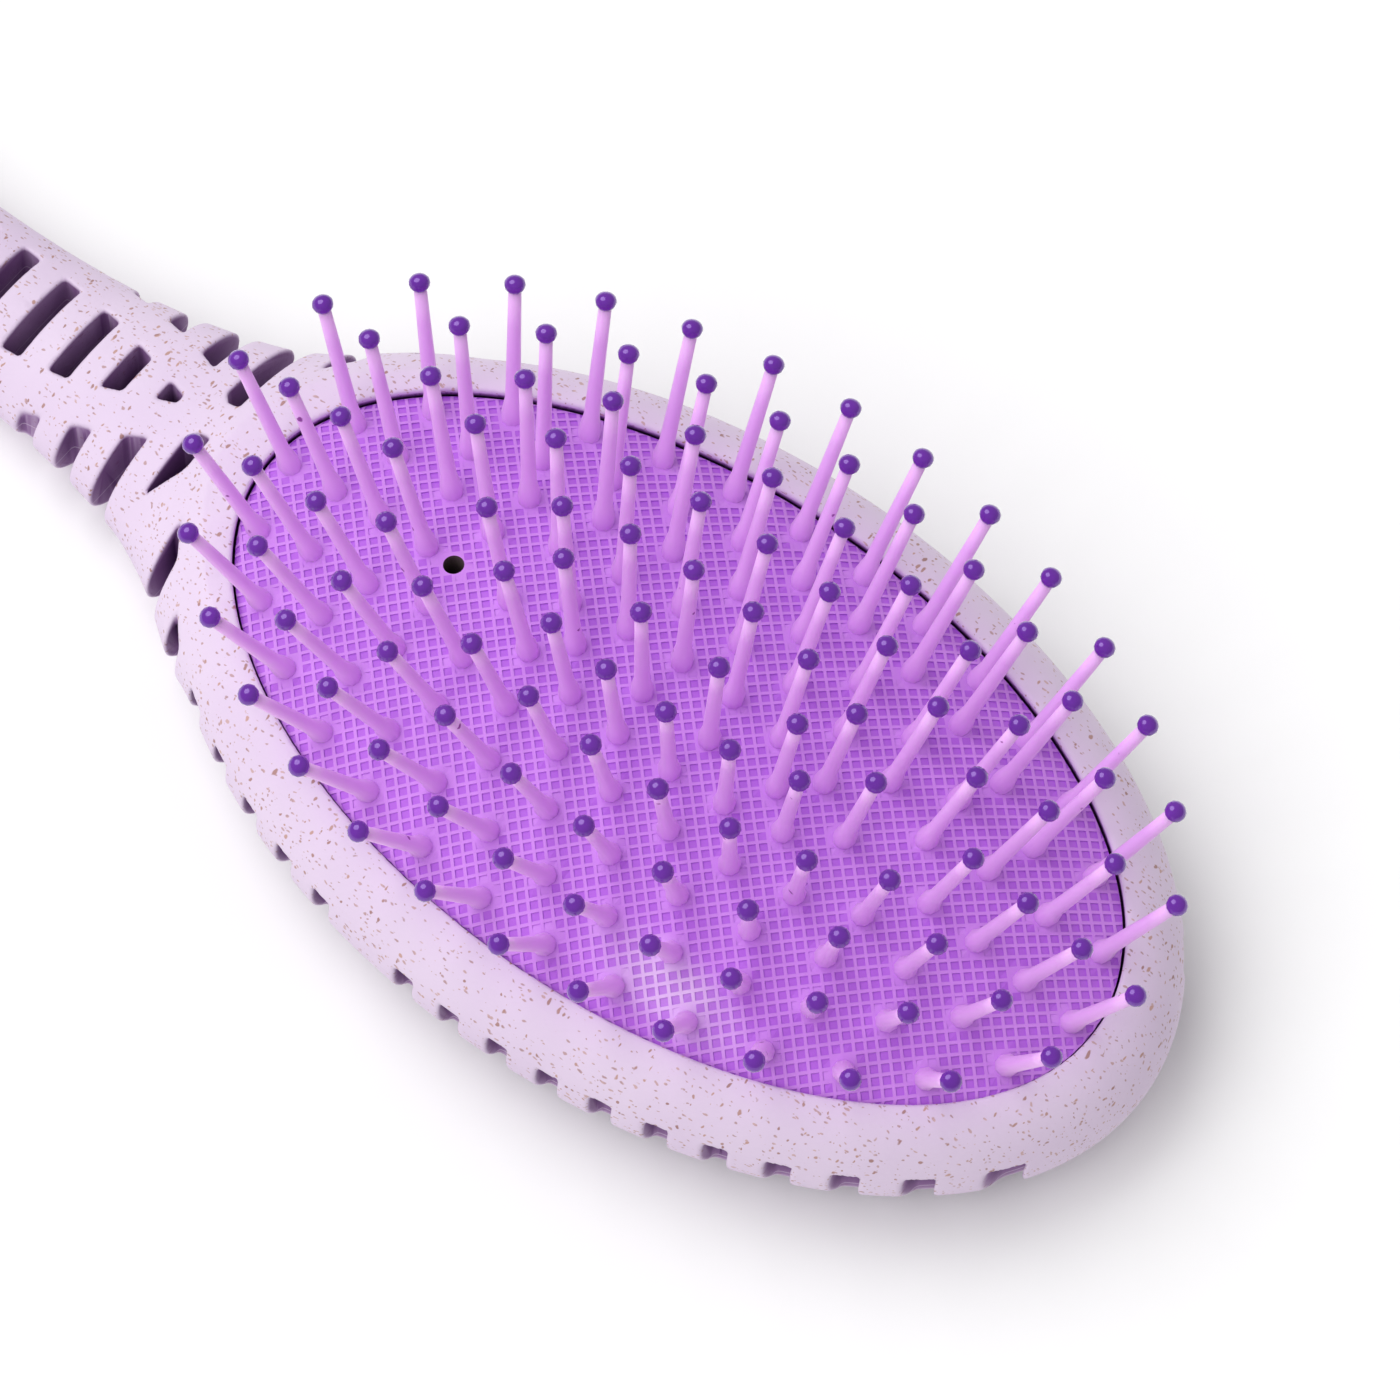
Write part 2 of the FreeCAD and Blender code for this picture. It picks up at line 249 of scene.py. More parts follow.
def makeStrawPlastic():
    look = strawPlastic
    material, tree, shader = newMaterial("strawPlastic", {"Specular IOR Level": look["gloss"]})
    skin = placeGroup(tree, skinGroup, look["skin"])
    fine = placeGroup(tree, strawGroup, look["fine"])
    coarse = placeGroup(tree, strawGroup, look["coarse"])
    base = mixColour(tree, skin.outputs["Cloud"], look["pale"], look["cool"])
    fibre = mixColour(tree, coarse.outputs["Tone"], look["tan"], look["brown"])
    small = calc(tree, "MULTIPLY", fine.outputs["Mask"], look["fineShare"])
    mask = calc(tree, "MULTIPLY", calc(tree, "MAXIMUM", small, coarse.outputs["Mask"]), look["fleckShare"])
    colour = mixColour(tree, mask, base, fibre)
    # painted shade: slot walls, notches and the lip's inner wall grow darker the deeper they lie
    pocketShade = readShare(tree, "pocketShadeShare")
    inside = calc(tree, "MAXIMUM", calc(tree, "SUBTRACT", pocketShade, look["slotStart"]), 0.0)
    wall = calc(tree, "MINIMUM", calc(tree, "MULTIPLY", inside, look["wallGain"]), 1.0)
    colour = mixColour(tree, wall, colour, look["wall"])
    colour = mixColour(tree, pocketShade, colour, look["deep"])
    place = addNode(tree, "ShaderNodeSeparateXYZ", {0: addNode(tree, "ShaderNodeTexCoord").outputs["Object"]})
    offSeam = calc(tree, "ABSOLUTE", calc(tree, "SUBTRACT", place.outputs[2], look["seamLevel"]))
    seam = calc(tree, "LESS_THAN", offSeam, look["seamHalf"])  # a mould line on the slots' walls
    seam = calc(tree, "MULTIPLY", seam, calc(tree, "GREATER_THAN", pocketShade, look["slotStart"]))
    colour = mixColour(tree, calc(tree, "MULTIPLY", seam, look["seamShare"]), colour, look["pale"])
    tree.links.new(colour, shader.inputs["Base Color"])
    rough = calc(tree, "MULTIPLY_ADD", skin.outputs["Cloud"], look["cloudRough"], look["leastRough"])
    rough = calc(tree, "MULTIPLY_ADD", pocketShade, look["slotRough"], rough)  # dull deep in a slot
    tree.links.new(rough, shader.inputs["Roughness"])
    addBump(tree, shader, skin.outputs["Height"], look["bump"])
    return material


waffleRubber = dict(
    # cell is darker than rib: painted shade in the recessed cells
    rib=(208, 140, 235), cell=(186, 105, 225), palePatch=(238, 214, 246), skin={"Scale": 1500.0, "Wave": 60.0},
    palePatchPlace=(0.015, -0.0205, 0.0), palePatchScale=(1 / 0.010, 1 / 0.004, 0.0), palePatchNoise=260.0,
    palePatchGain=1.6, palePatchCell=0.3, palePatchRib=0.7, palePatchMost=0.8,
    gloss=0.4, leastRough=0.43, cloudRough=0.15, bump=0.00003,
)


def makeWaffleRubber():
    look = waffleRubber
    material, tree, shader = newMaterial("waffleRubber", {"Specular IOR Level": look["gloss"]})
    skin = placeGroup(tree, skinGroup, look["skin"])
    rib = readShare(tree, "ribShare")
    # the cell floors take the cell colour as painted shade; ribs, cell walls and collars take the rib colour
    colour = mixColour(tree, rib, look["cell"], look["rib"])
    place = addNode(tree, "ShaderNodeTexCoord").outputs["Object"]
    # a whitish patch near the cushion's near edge, mottled by noise
    away = vectorCalc(tree, "SUBTRACT", place, look["palePatchPlace"])
    away = vectorCalc(tree, "MULTIPLY", away, look["palePatchScale"])
    far = addNode(tree, "ShaderNodeVectorMath", {0: away}, operation="LENGTH").outputs["Value"]
    noise = addNoise(tree, place, look["palePatchNoise"], detail=3.0)[0]
    patchy = calc(tree, "MULTIPLY", noise, look["palePatchGain"])
    palePatch = calc(tree, "MULTIPLY", calc(tree, "MAXIMUM", calc(tree, "SUBTRACT", 1.0, far), 0.0), patchy)
    raised = calc(tree, "MULTIPLY_ADD", rib, look["palePatchRib"], look["palePatchCell"])  # strongest on the ribs
    palePatch = calc(tree, "MINIMUM", calc(tree, "MULTIPLY", palePatch, raised), look["palePatchMost"])
    tree.links.new(mixColour(tree, palePatch, colour, look["palePatch"]), shader.inputs["Base Color"])
    rough = calc(tree, "MULTIPLY_ADD", skin.outputs["Cloud"], look["cloudRough"], look["leastRough"])
    tree.links.new(rough, shader.inputs["Roughness"])
    addBump(tree, shader, skin.outputs["Height"], look["bump"])
    return material


pinNylon = dict(
    root=(229, 166, 247), tip=(240, 188, 251), speck=(150, 70, 160), skin={"Scale": 1500.0, "Wave": 400.0},
    specks={"Scale": 900.0, "Amount": 0.02}, riseGain=5.0, bump=0.00003,
    shader={
        "Roughness": 0.45, "Specular IOR Level": 0.25, "Subsurface Weight": 0.35, "Subsurface Scale": 0.001,
        "Subsurface Radius": (1.0, 0.6, 1.0),
    },
)


def makePinNylon():
    look = pinNylon
    material, tree, shader = newMaterial("pinNylon", look["shader"])
    skin = placeGroup(tree, skinGroup, look["skin"])
    rise = calc(tree, "MINIMUM", calc(tree, "MULTIPLY", readShare(tree, "riseShare"), look["riseGain"]), 1.0)
    colour = mixColour(tree, rise, look["root"], look["tip"])
    specks = placeGroup(tree, strawGroup, look["specks"])
    colour = mixColour(tree, specks.outputs["Mask"], colour, look["speck"])
    tree.links.new(colour, shader.inputs["Base Color"])
    addBump(tree, shader, skin.outputs["Height"], look["bump"])
    return material


ballLacquer = dict(
    light=(112, 42, 168), dark=(92, 30, 146), glint=(200, 168, 240), skin={"Scale": 1200.0, "Wave": 700.0},
    shader={"Roughness": 0.1, "Specular IOR Level": 1.0, "Coat Weight": 0.5, "Coat Roughness": 0.03},
    bump=0.00002,
)


def makeBallLacquer():
    look = ballLacquer
    sockets = {**look["shader"], "Specular Tint": linear(*look["glint"])}
    material, tree, shader = newMaterial("ballLacquer", sockets)
    skin = placeGroup(tree, skinGroup, look["skin"])
    colour = mixColour(tree, skin.outputs["Cloud"], look["light"], look["dark"])
    tree.links.new(colour, shader.inputs["Base Color"])
    addBump(tree, shader, skin.outputs["Height"], look["bump"])
    return material


paintedVentShade = dict(
    light=(126, 114, 108), dark=(84, 68, 76), skin={"Scale": 1200.0, "Wave": 500.0},
    shader={"Roughness": 0.9, "Specular IOR Level": 0.1},
)


def makeVentShade():  # painted shade: the vent's walls and floor in dark grey-brown
    material, tree, shader = newMaterial("paintedVentShade", paintedVentShade["shader"])
    skin = placeGroup(tree, skinGroup, paintedVentShade["skin"])
    colour = mixColour(tree, skin.outputs["Cloud"], paintedVentShade["light"], paintedVentShade["dark"])
    tree.links.new(colour, shader.inputs["Base Color"])
    return material


finishes = dict(
    frame=makeStrawPlastic(), pad=makeWaffleRubber(), pin=makePinNylon(), ball=makeBallLacquer(),
    vent=makeVentShade(),
)
print("finishes made:", ", ".join(finishes))

# Frame: one moulding, as a distance field that is netted into a mesh. Sizes here are in millimetres.
shell = dict(
    openingLength=95.6, openingWidth=54.0, lipHeight=16.0, lipLand=0.5, lipThickness=1.2, lipRound=0.3,
    rimWidth=6.1, widestHeight=9.7, backInset=9.0, leastHalf=2.0,
    floorHeight=3.0, seatHeight=2.8, seatDepth=1.5, ledgeWidth=1.5,
    slotPitch=5.44, slotWidth=2.2, slotOverhang=0.86, slotCount=33, slotCorner=0.45, edgeRound=0.32,
    plainSlot=11, plainGap=3.0,  # one slot of the row is left out
    rimBand=5.3, notchTop=11.5, notchReach=3.9, shoulderX=-46.0, shoulderRun=5.0,
    windowDistance=47.2, windowLength=72.0, windowWidth=10.8, windowTip=-57.6, windowSlope=0.32,
    railLength=82.0, railWidth=20.0, spineWidth=4.2, spineReach=10.0, plainGripStart=30.0,
    strapSlot=19, strapLine=(-53.4, -5.5, -56.0, -9.9),
    handleFlats=16, sliceStep=0.5, tailGap=0.05, headGap=0.6, slotGap=0.3, handleEnd=1.0, neckBlend=5.0,
    neckRows=[(-50.0, 15.6, 7.3, 7.8), (-43.8, 19.0, 7.6, 8.1)],  # the neck runs on into the head
    # painted shade in the frame's pockets and on the lip's inner wall: how deep it reaches full, and how far
    # it runs under the lip
    pocketDepth=1.2, recessReach=2.0, shadeStart=0.35, shadeRun=0.5, shadeMost=0.9,
    voxel=0.32, margin=1.5, triangles=190000,
)
headEnd = -shell["openingLength"] / 2
firstSlot = shell["openingLength"] / 2 + shell["slotOverhang"]
slotPlaces = firstSlot - shell["slotPitch"] * np.arange(shell["slotCount"])


def nodeTriangles(name):  # a solid's triangles, in millimetres
    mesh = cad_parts[name].data
    mesh.calc_loop_triangles()
    points = np.empty(len(mesh.vertices) * 3)
    mesh.vertices.foreach_get("co", points)
    corners = np.empty(len(mesh.loop_triangles) * 3, int)
    mesh.loop_triangles.foreach_get("vertices", corners)
    return points.reshape(-1, 3)[corners].reshape(-1, 3, 3) / mm


def readHandle():  # half width, half height and level along the handle, sliced from the solid
    triangles = nodeTriangles("brush_frame")
    tail = triangles[:, :, 0].min()
    rows = []
    flat = math.cos(math.pi / shell["handleFlats"])
    head = headEnd - shell["rimWidth"] - shell["headGap"]
    for x in np.arange(tail + shell["tailGap"], head, shell["sliceStep"]):
        if np.abs(slotPlaces - x).min() < shell["slotWidth"] / 2 + shell["slotGap"]:
            continue
        cut = []
        for start, stop in ((0, 1), (1, 2), (2, 0)):
            a, b = triangles[:, start], triangles[:, stop]
            crossing = (a[:, 0] < x) != (b[:, 0] < x)
            share = (x - a[crossing, 0]) / (b[crossing, 0] - a[crossing, 0])
            cut.append(a[crossing] + share[:, None] * (b[crossing] - a[crossing]))
        cut = np.concatenate(cut)
        low, high = cut[:, 2].min(), cut[:, 2].max()
        rows.append((x, cut[:, 1].max() / flat, (high - low) / 2 / flat, (high + low) / 2))
    return np.array(rows + shell["neckRows"]).T


handleRows = readHandle()


def blendMin(a, b, radius):
    share = np.clip(0.5 + 0.5 * (b - a) / radius, 0, 1)
    return b + (a - b) * share - radius * share * (1 - share)


def blendMax(a, b, radius):
    return -blendMin(-a, -b, radius)


def outset(x, y, passes=7):  # how far the opening's oval must grow to pass through a point
    a, b = shell["openingLength"] / 2, shell["openingWidth"] / 2
    least = shell["leastHalf"] - b
    grow = np.maximum(np.maximum(np.abs(x) - a, np.abs(y) - b), least)
    for _ in range(passes):
        p, q = a + grow, b + grow
        grow = grow + ((x / p) ** 2 + (y / q) ** 2 - 1) / (2 * (x**2 / p**3 + y**2 / q**3) + tiny)
        grow = np.maximum(grow, least)
    return grow


def ovalDistance(x, y, halfX, halfY):  # signed distance to an oval, good near its edge
    ratio = np.sqrt((x / halfX) ** 2 + (y / halfY) ** 2) + tiny
    slope = np.sqrt((x / halfX**2) ** 2 + (y / halfY**2) ** 2) / ratio + tiny
    return (ratio - 1) / slope


def headDistance(grow, z):
    widest, inset = shell["widestHeight"], shell["backInset"]
    land, rim = shell["lipLand"], shell["rimWidth"]
    upper = ovalDistance(np.maximum(grow - land, 0), z - widest, rim - land, shell["lipHeight"] - widest)
    lower = ovalDistance(np.maximum(grow + inset, 0), z - widest, rim + inset, widest)
    return np.where(z > widest, upper, lower)


def handleDistance(x, y, z):
    places, halfWidths, halfHeights, levels = handleRows
    halfWidth, halfHeight = np.interp(x, places, halfWidths), np.interp(x, places, halfHeights)
    body = ovalDistance(y, z - np.interp(x, places, levels), halfWidth, halfHeight)
    return blendMax(body, np.maximum(places[0] - x, x - places[-1]), shell["handleEnd"])


def rimDistance(x, z, grow):  # the rim's notches stop under a whole upper edge, except at the shoulders
    share = np.clip((x - shell["shoulderX"]) / shell["shoulderRun"], 0, 1)
    band, reach = shell["rimBand"], shell["notchReach"]
    upper = np.maximum(grow - band - share, shell["notchTop"] - z)
    return np.minimum(upper, grow - reach - (band - reach) * (1 - share))


def slotDistance(x, y, z, grow):
    step = np.clip(np.round((firstSlot - x) / shell["slotPitch"]), 0, shell["slotCount"] - 1)
    bar = np.abs(x - (firstSlot - step * shell["slotPitch"])) - shell["slotWidth"] / 2
    bar = np.where(step == shell["plainSlot"], shell["plainGap"], bar)
    lens = x - headEnd + shell["windowDistance"]
    rails = ovalDistance(lens, y, shell["railLength"] / 2, shell["railWidth"] / 2)
    window = ovalDistance(lens, y, shell["windowLength"] / 2, shell["windowWidth"] / 2)
    slope = shell["windowSlope"]
    point = (np.abs(y) - slope * (shell["windowTip"] - x)) / math.hypot(1, slope)
    window = np.maximum(window, point)
    framed = blendMax(np.minimum(rails, x - headEnd + shell["plainGripStart"]), -window, shell["slotCorner"])
    half = shell["spineReach"] / 2
    spine = np.maximum(np.abs(y) - shell["spineWidth"] / 2, np.abs(x - headEnd + half) - half)
    startX, startY, stopX, stopY = shell["strapLine"]  # on one side a strap closes the slot at the head
    run = math.hypot(stopX - startX, stopY - startY)
    strap = ((x - startX) * (stopY - startY) - (y - startY) * (stopX - startX)) / run
    strap = np.maximum(strap, np.abs(x - slotPlaces[shell["strapSlot"]]) - shell["slotPitch"] / 2)
    uncut = np.minimum(np.minimum(rimDistance(x, z, grow), spine), np.minimum(framed, np.maximum(strap, y)))
    return blendMax(bar, -uncut, shell["slotCorner"])


def recessDistance(grow, z):
    seatTop = shell["lipHeight"] - shell["lipThickness"]
    seatFloor = seatTop - shell["seatHeight"]
    mouth = np.maximum(grow, seatFloor - z)
    seat = np.maximum(grow - shell["seatDepth"], np.maximum(seatFloor - z, z - seatTop))
    chamber = np.maximum(grow + shell["ledgeWidth"], shell["floorHeight"] - z)
    return np.minimum(np.minimum(mouth, seat), chamber)


def blankDistance(x, y, z, grow):  # the frame before its slots and recess
    blank = blendMin(headDistance(grow, z), handleDistance(x, y, z), shell["neckBlend"])
    return np.maximum(blank, np.maximum(-z, z - shell["lipHeight"]))


def frameDistance(x, y, z):
    grow = outset(x, y)
    slotted = blendMax(blankDistance(x, y, z, grow), -slotDistance(x, y, z, grow), shell["edgeRound"])
    return blendMax(slotted, -recessDistance(grow, z), shell["lipRound"])


def surfaceNet(values):  # one point in every grid cell that the surface crosses, joined by quads
    inside = values < 0
    count = np.zeros(tuple(n - 1 for n in values.shape), np.int8)
    for corner in np.ndindex(2, 2, 2):
        count += inside[tuple(slice(c, n - 1 + c) for c, n in zip(corner, values.shape))]
    mixed = (count > 0) & (count < 8)
    names = np.full(mixed.shape, -1, np.int64)
    names[mixed] = np.arange(mixed.sum())
    total = mixed.sum()
    sums, hits, quads = np.zeros((total, 3)), np.zeros(total), []
    for axis in range(3):
        low = tuple(slice(0, -1) if k == axis else slice(None) for k in range(3))
        high = tuple(slice(1, None) if k == axis else slice(None) for k in range(3))
        crossing = inside[low] != inside[high]
        before, after = values[low][crossing], values[high][crossing]
        cells = np.argwhere(crossing)
        points = cells.astype(float)
        points[:, axis] += before / (before - after)
        around = []
        for shiftU, shiftV in ((-1, -1), (0, -1), (0, 0), (-1, 0)):
            cell = cells.copy()
            cell[:, (axis + 1) % 3] += shiftU
            cell[:, (axis + 2) % 3] += shiftV
            around.append(names[tuple(cell.T)])
            hits += np.bincount(around[-1], minlength=total)
            for k in range(3):
                sums[:, k] += np.bincount(around[-1], weights=points[:, k], minlength=total)
        quad = np.stack(around, 1)
        quads.append(np.where((before < 0)[:, None], quad, quad[:, ::-1]))
    return sums / hits[:, None], np.concatenate(quads)


def settle(points, passes=2, probe=0.04, damping=0.05, most=0.15):  # draws points onto the surface
    for _ in range(passes):
        slopes = []
        for k in range(3):
            nudge = np.zeros(3)
            nudge[k] = probe
            ahead, behind = frameDistance(*(points + nudge).T), frameDistance(*(points - nudge).T)
            slopes.append((ahead - behind) / (2 * probe))
        slope = np.stack(slopes, 1)
        pull = frameDistance(*points.T)[:, None] * slope / (np.sum(slope**2, 1)[:, None] + damping)
        points = points - np.clip(pull, -most, most)
    return points


def markPocketShade(mesh):  # how deep each point lies below the outer skin, or below the lip in the recess: the share of painted shade
    points = np.empty(len(mesh.vertices) * 3)
    mesh.vertices.foreach_get("co", points)
    x, y, z = points.reshape(-1, 3).T / mm
    grow = outset(x, y)
    depth = np.clip(-blankDistance(x, y, z, grow) / shell["pocketDepth"], 0, 1)
    shade = (shell["lipHeight"] - shell["shadeStart"] - z) / shell["shadeRun"]
    depth = np.where(grow < shell["recessReach"], np.clip(shade, 0, shell["shadeMost"]), depth)
    pocketShadeShare = mesh.attributes.new("pocketShadeShare", "FLOAT", "POINT")
    pocketShadeShare.data.foreach_set("value", depth.astype(np.float32))


def unpinch(mesh, passes=3):  # closes the few short edges on which two folds of the skin touch
    work = bmesh.new()
    work.from_mesh(mesh)
    for _ in range(passes):
        pinched = [edge for edge in work.edges if len(edge.link_faces) > 2]
        bmesh.ops.collapse(work, edges=pinched)
    work.to_mesh(mesh)
    work.free()


def makeFrame():
    low, high = (np.array(corner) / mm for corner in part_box("brush_frame"))
    step = shell["voxel"]
    grid = [np.arange(a - shell["margin"], b + shell["margin"], step) for a, b in zip(low, high)]
    values = frameDistance(grid[0][:, None, None], grid[1][None, :, None], grid[2][None, None, :])
    cells, quads = surfaceNet(values)
    points = settle(cells * step + np.array([axis[0] for axis in grid]))
    points = np.clip(points, low, high)
    piece = newPiece("brushFrame", newMesh("brushFrame", points * mm, quads))
    ratio = shell["triangles"] / (2 * len(quads))
    if ratio < 1:
        thin = piece.modifiers.new("thin", "DECIMATE")
        thin.ratio = ratio
        flatten(piece)
    unpinch(piece.data)
    piece.data.materials.append(finishes["frame"])
    markPocketShade(piece.data)
    smooth(piece)
    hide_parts("brush_frame")
    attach(piece, "frame")
    print("frame netted:", len(quads), "quads, then", len(piece.data.polygons), "faces")


makeFrame()

# Pins and balls: their places and leans are read from the solids
pinForm = dict(
    sides=9, steps=8, spread=2.1, sunk=0.9, top=15.03, tipWidth=1.25, shankWidth=1.6,
    rootWidth=2.45, rootHeight=1.2, rootRise=0.5, rootUnder=0.75, topPoints=5,
)
ballForm = dict(sides=12, rows=8, width=2.06, reach=15.8, flatten=0.235)
pinSizes = {  # the pin tree's inputs that are lengths
    "Top": "top", "Sunk": "sunk", "Tip Width": "tipWidth", "Shank Width": "shankWidth",
    "Root Width": "rootWidth", "Root Height": "rootHeight", "Root Rise": "rootRise",
    "Root Under": "rootUnder",
}


def readPins(ring):  # the points on the cushion where a ring's pins stand, and the way they lean
    feet, leans = [], []
    for half in ("front", "rear"):
        mesh = bmesh.new()
        mesh.from_mesh(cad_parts[f"{ring}_pins_{half}"].data)
        bmesh.ops.remove_doubles(mesh, verts=mesh.verts, dist=joinWithin * mm)
        waiting = set(mesh.verts)
        while waiting:
            first = min(waiting, key=lambda v: v.index)
            island, edge = {first}, [first]
            while edge:
                found = {e.other_vert(v) for v in edge for e in v.link_edges} - island
                island |= found
                edge = list(found)
            waiting -= island
            points = sorted((v.co.copy() for v in island), key=lambda p: p.z)
            crown = sum(points[-pinForm["topPoints"]:], Vector()) / pinForm["topPoints"]
            lean = (crown - sum(points, Vector()) / len(points)).normalized()
            feet.append(crown - lean * pinForm["top"] * mm)
            leans.append(lean)
        mesh.free()
    return feet, leans


def makePointMesh(name, points, leans):
    mesh = newMesh(name, points, [])
    attribute = mesh.attributes.new("lean", "FLOAT_VECTOR", "POINT")
    attribute.data.foreach_set("vector", np.array(leans, np.float32).ravel())
    return mesh


def newTree(name, inputs):
    tree = bpy.data.node_groups.new(name, "GeometryNodeTree")
    tree.interface.new_socket("Geometry", in_out="INPUT", socket_type="NodeSocketGeometry")
    for word, kind in inputs.items():
        tree.interface.new_socket(word, in_out="INPUT", socket_type=f"NodeSocket{kind}")
    tree.interface.new_socket("Geometry", in_out="OUTPUT", socket_type="NodeSocketGeometry")
    return tree, tree.nodes.new("NodeGroupInput").outputs, tree.nodes.new("NodeGroupOutput").inputs[0]


def endTree(tree, given, shape, result):  # the last two nodes of every tree
    real = addNode(tree, "GeometryNodeRealizeInstances", {"Geometry": shape}).outputs[0]
    paint = addNode(tree, "GeometryNodeSetMaterial", {"Geometry": real, "Material": given["Material"]})
    tree.links.new(paint.outputs[0], result)


def readPlace(tree):  # the parts of a point's place, inside a geometry tree
    place = addNode(tree, "GeometryNodeInputPosition").outputs[0]
    return addNode(tree, "ShaderNodeSeparateXYZ", {0: place}).outputs


def standOnPoints(tree, given, shape, result):  # copies of a shape on the points, along their leans
    lean = addNode(tree, "GeometryNodeInputNamedAttribute", {"Name": "lean"}, data_type="FLOAT_VECTOR")
    turn = addNode(tree, "FunctionNodeAlignRotationToVector", {"Vector": lean.outputs[0]}, axis="Z")
    soft = addNode(tree, "GeometryNodeSetShadeSmooth", {"Geometry": shape}).outputs[0]
    stand = addNode(tree, "GeometryNodeInstanceOnPoints", {"Points": given["Geometry"], "Instance": soft})
    tree.links.new(turn.outputs[0], stand.inputs["Rotation"])
    endTree(tree, given, stand.outputs[0], result)


def makePinTree():  # a stretched cylinder whose width follows a rule along its height
    sizes = {**dict.fromkeys(pinSizes, "Float"), "Spread": "Float", "Sides": "Int", "Steps": "Int"}
    tree, given, result = newTree("pinField", {**sizes, "Material": "Material"})
    rod = addNode(tree, "GeometryNodeMeshCylinder", {"Radius": 1.0, "Depth": 1.0})
    tree.links.new(given["Sides"], rod.inputs["Vertices"])
    tree.links.new(given["Steps"], rod.inputs["Side Segments"])
    place = readPlace(tree)
    rise = calc(tree, "POWER", calc(tree, "ADD", place[2], 0.5), given["Spread"])
    length = calc(tree, "ADD", given["Top"], given["Sunk"])
    height = calc(tree, "SUBTRACT", calc(tree, "MULTIPLY", rise, length), given["Sunk"])
    shank = given["Shank Width"]
    taper = calc(tree, "MULTIPLY_ADD", calc(tree, "SUBTRACT", given["Tip Width"], shank), rise, shank)
    above = calc(tree, "SUBTRACT", height, given["Root Rise"])
    under = calc(tree, "DIVIDE", calc(tree, "MULTIPLY", above, -1.0), given["Root Under"])
    near = calc(tree, "MAXIMUM", calc(tree, "DIVIDE", above, given["Root Height"]), under)
    flare = calc(tree, "EXPONENT", calc(tree, "MULTIPLY", calc(tree, "MULTIPLY", near, near), -1.0))
    width = calc(tree, "MULTIPLY_ADD", calc(tree, "SUBTRACT", given["Root Width"], shank), flare, taper)
    radius = calc(tree, "MULTIPLY", width, 0.5)
    x, y = (calc(tree, "MULTIPLY", place[k], radius) for k in range(2))
    where = addNode(tree, "ShaderNodeCombineXYZ", {0: x, 1: y, 2: height}).outputs[0]
    values = {"Geometry": rod.outputs[0], "Name": "riseShare", "Value": rise}
    marked = addNode(tree, "GeometryNodeStoreNamedAttribute", values).outputs[0]
    shaped = addNode(tree, "GeometryNodeSetPosition", {"Geometry": marked, "Position": where})
    standOnPoints(tree, given, shaped.outputs[0], result)
    return tree


def makeBallTree():
    sizes = {"Width": "Float", "Flatten": "Float", "Sides": "Int", "Rows": "Int", "Material": "Material"}
    tree, given, result = newTree("ballField", sizes)
    ball = addNode(tree, "GeometryNodeMeshUVSphere", {"Radius": calc(tree, "MULTIPLY", given["Width"], 0.5)})
    tree.links.new(given["Sides"], ball.inputs["Segments"])
    tree.links.new(given["Rows"], ball.inputs["Rings"])
    press = calc(tree, "MULTIPLY", calc(tree, "MAXIMUM", readPlace(tree)[2], 0.0), given["Flatten"])
    drop = addNode(tree, "ShaderNodeCombineXYZ", {2: calc(tree, "MULTIPLY", press, -1.0)}).outputs[0]
    dipped = addNode(tree, "GeometryNodeSetPosition", {"Geometry": ball.outputs[0], "Offset": drop})
    standOnPoints(tree, given, dipped.outputs[0], result)
    return tree


pinTree = makePinTree()
ballTree = makeBallTree()
pinFeet = []


def finishField(piece, ring, part):
    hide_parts(f"{ring}_{part}_front", f"{ring}_{part}_rear")
    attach(piece, ring)


def makeRing(ring):
    feet, leans = readPins(ring)
    pinFeet.extend(feet)
    pins = newPiece(f"{ring}Pins", makePointMesh(f"{ring}Pins", feet, leans))
    sizes = {name: pinForm[word] * mm for name, word in pinSizes.items()}
    growTree(
        pins, pinTree, **sizes, Spread=pinForm["spread"], Sides=pinForm["sides"], Steps=pinForm["steps"],
        Material=finishes["pin"],
    )
    finishField(pins, ring, "pins")
    tips = [foot + lean * ballForm["reach"] * mm for foot, lean in zip(feet, leans)]
    balls = newPiece(f"{ring}Balls", makePointMesh(f"{ring}Balls", tips, leans))
    growTree(
        balls, ballTree, Width=ballForm["width"] * mm, Flatten=ballForm["flatten"], Sides=ballForm["sides"],
        Rows=ballForm["rows"], Material=finishes["ball"],
    )
    finishField(balls, ring, "balls")
    print(ring, "stands:", len(feet), "pins")


for ringName in ringNames:
    makeRing(ringName)

# Cushion: a crowned sheet of waffle cells, with a smooth collar round each pin and the vent
waffle = dict(
    edgeGap=0.25, edge=15.1, foot=12.2, crown=5.4, fullness=2.6, pitch=1.06, cellShare=0.71, depth=0.14,
    turn=45.0, collar=1.55, spanShare=2.1, trimShare=1.04, collapseWithin=0.02, sewWithin=0.001,
    ventX=-26.0, ventWidth=2.0, ventFloor=13.0, ventTop=23.0, ventSides=28, travel=4.0,
)


